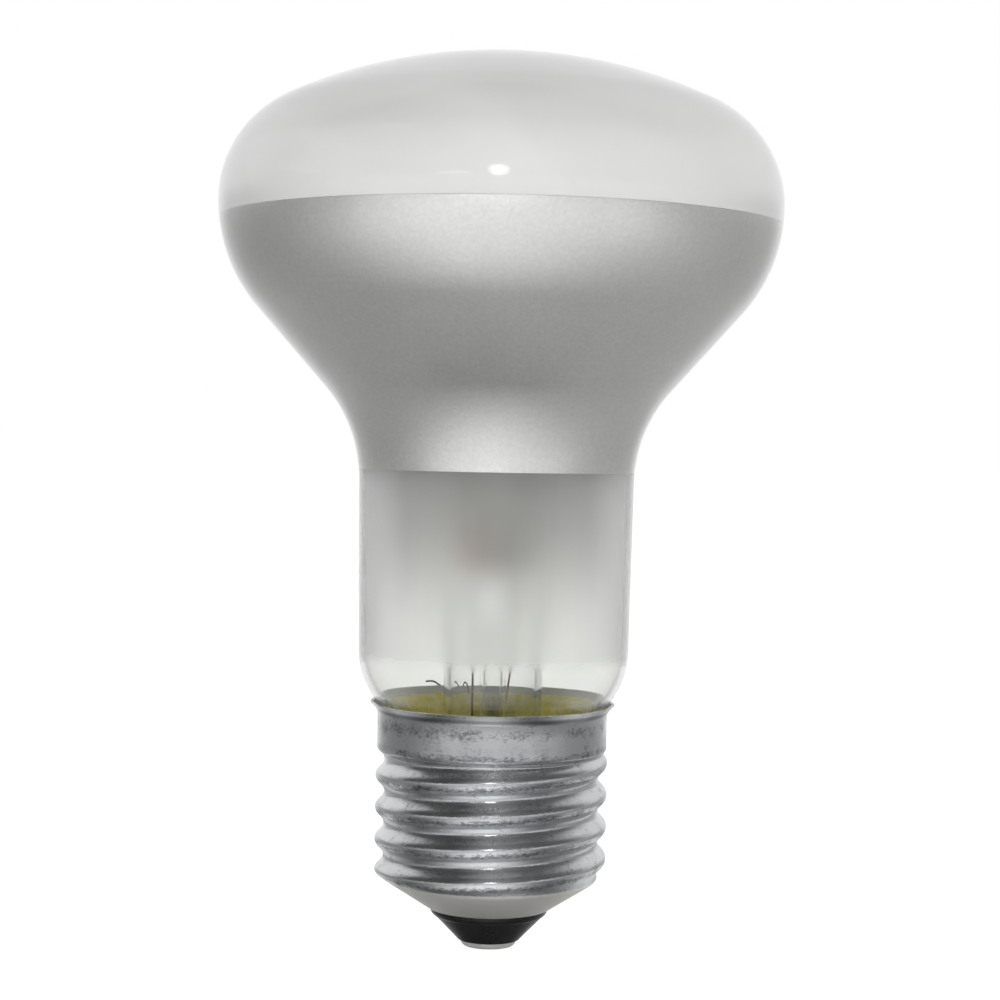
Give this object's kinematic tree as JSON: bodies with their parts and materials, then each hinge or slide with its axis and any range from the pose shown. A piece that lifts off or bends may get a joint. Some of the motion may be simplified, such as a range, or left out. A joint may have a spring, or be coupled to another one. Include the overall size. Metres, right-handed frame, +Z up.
{
  "type": "reflector bulb",
  "caption": "Reflector light bulb with a white domed face, a mirrored flank, a frosted neck and an E27 screw cap.",
  "frame": {"origin": "centre of the centre contact's flat bottom", "axes": "+Z up the lamp's axis, from the contact to the domed face"},
  "size_m": [0.0635, 0.0634, 0.1007],
  "materials": {
    "clear_glass": "clear gloss",
    "face_white": "matt white film",
    "mirror_film": "satin aluminium film",
    "tungsten": "drawn wire",
    "copper_wire": "drawn wire",
    "nickel_wire": "drawn wire",
    "dark_wire": "darkened wire",
    "cap_metal": "rolled, stained",
    "black_glass": "gloss",
    "contact_metal": "pressed",
    "solder": "dull",
    "cement": "matt"
  },
  "bodies": {
    "root": {"glass_bulb": "clear_glass", "face_coating": "face_white", "mirror_coating": "mirror_film", "glass_stem": "clear_glass", "exhaust_tube": "clear_glass", "arbor_rod": "clear_glass", "filament": "tungsten", "left_seal_wire": "copper_wire", "right_seal_wire": "copper_wire", "left_filament_lead": "nickel_wire", "right_filament_lead": "nickel_wire", "contact_lead_upper": "dark_wire", "fuse_wire": "dark_wire", "contact_lead": "dark_wire", "rim_lead": "copper_wire", "cap_shell": "cap_metal", "cap_insulator": "black_glass", "centre_contact": "contact_metal", "contact_solder": "solder", "rim_solder": "solder", "basing_cement": "cement", "filament_support_1": "tungsten", "filament_support_2": "tungsten", "filament_support_3": "tungsten"}
  },
  "joints": []
}
